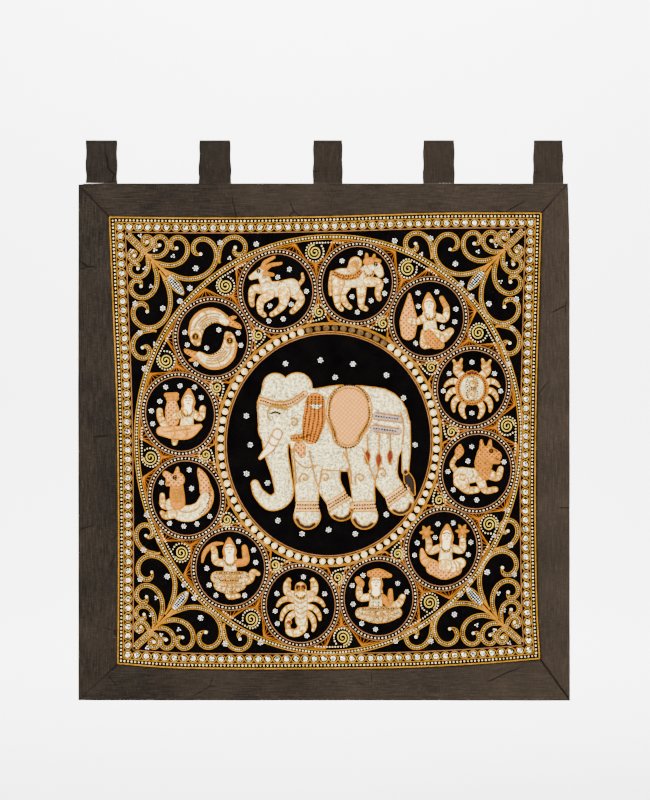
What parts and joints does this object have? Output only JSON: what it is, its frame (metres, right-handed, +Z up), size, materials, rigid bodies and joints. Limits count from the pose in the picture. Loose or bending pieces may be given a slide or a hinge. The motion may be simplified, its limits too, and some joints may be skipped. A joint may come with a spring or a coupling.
{
  "type": "kalaga tapestry wall hanging",
  "caption": "Black velvet wall hanging with padded elephant and zodiac figures, couched gold cord, mitred silk border and hanging tabs.",
  "frame": {"origin": "middle of the line on which the pole lies inside the five tabs", "axes": "+X to the right as seen from the worked side, +Z up, the worked side faces -Y"},
  "size_m": [0.9202, 0.0223, 1.0485],
  "materials": {
    "velvet": "matt black pile",
    "border_silk": "slubby dark brown silk",
    "gold_braid": "gold cord",
    "silver_cloth": "crinkled metallic cloth",
    "orange_cloth": "orange satin",
    "peach_cloth": "peach satin",
    "lilac_cloth": "pale lilac satin",
    "red_thread": "red-brown silk thread"
  },
  "bodies": {
    "root": {"velvet_panel": "velvet", "border_bottom": "border_silk", "border_top": "border_silk", "border_left": "border_silk", "border_right": "border_silk", "tab_1": "border_silk", "tab_2": "border_silk", "tab_3": "border_silk", "tab_4": "border_silk", "tab_5": "border_silk", "edging_bottom": "gold_braid", "edging_top": "gold_braid", "edging_left": "gold_braid", "edging_right": "gold_braid", "figure_crab": "silver_cloth", "figure_maiden_with_sheaf": "silver_cloth", "figure_bull": "silver_cloth", "figure_goat": "silver_cloth", "figure_fish_upper": "silver_cloth", "figure_fish_lower": "silver_cloth", "figure_water_bearer": "silver_cloth", "figure_sea_beast": "silver_cloth", "figure_archer": "silver_cloth", "figure_scorpion": "silver_cloth", "figure_seated": "silver_cloth", "figure_maiden_with_flowers": "silver_cloth", "figure_lion": "silver_cloth", "elephant_body": "silver_cloth", "elephant_saddle_cloth": "peach_cloth", "elephant_neck_cloth": "orange_cloth", "elephant_upper_strap": "lilac_cloth", "elephant_lower_strap": "lilac_cloth", "elephant_tassel_1": "red_thread", "elephant_tassel_2": "red_thread", "elephant_tassel_3": "red_thread"}
  },
  "joints": []
}
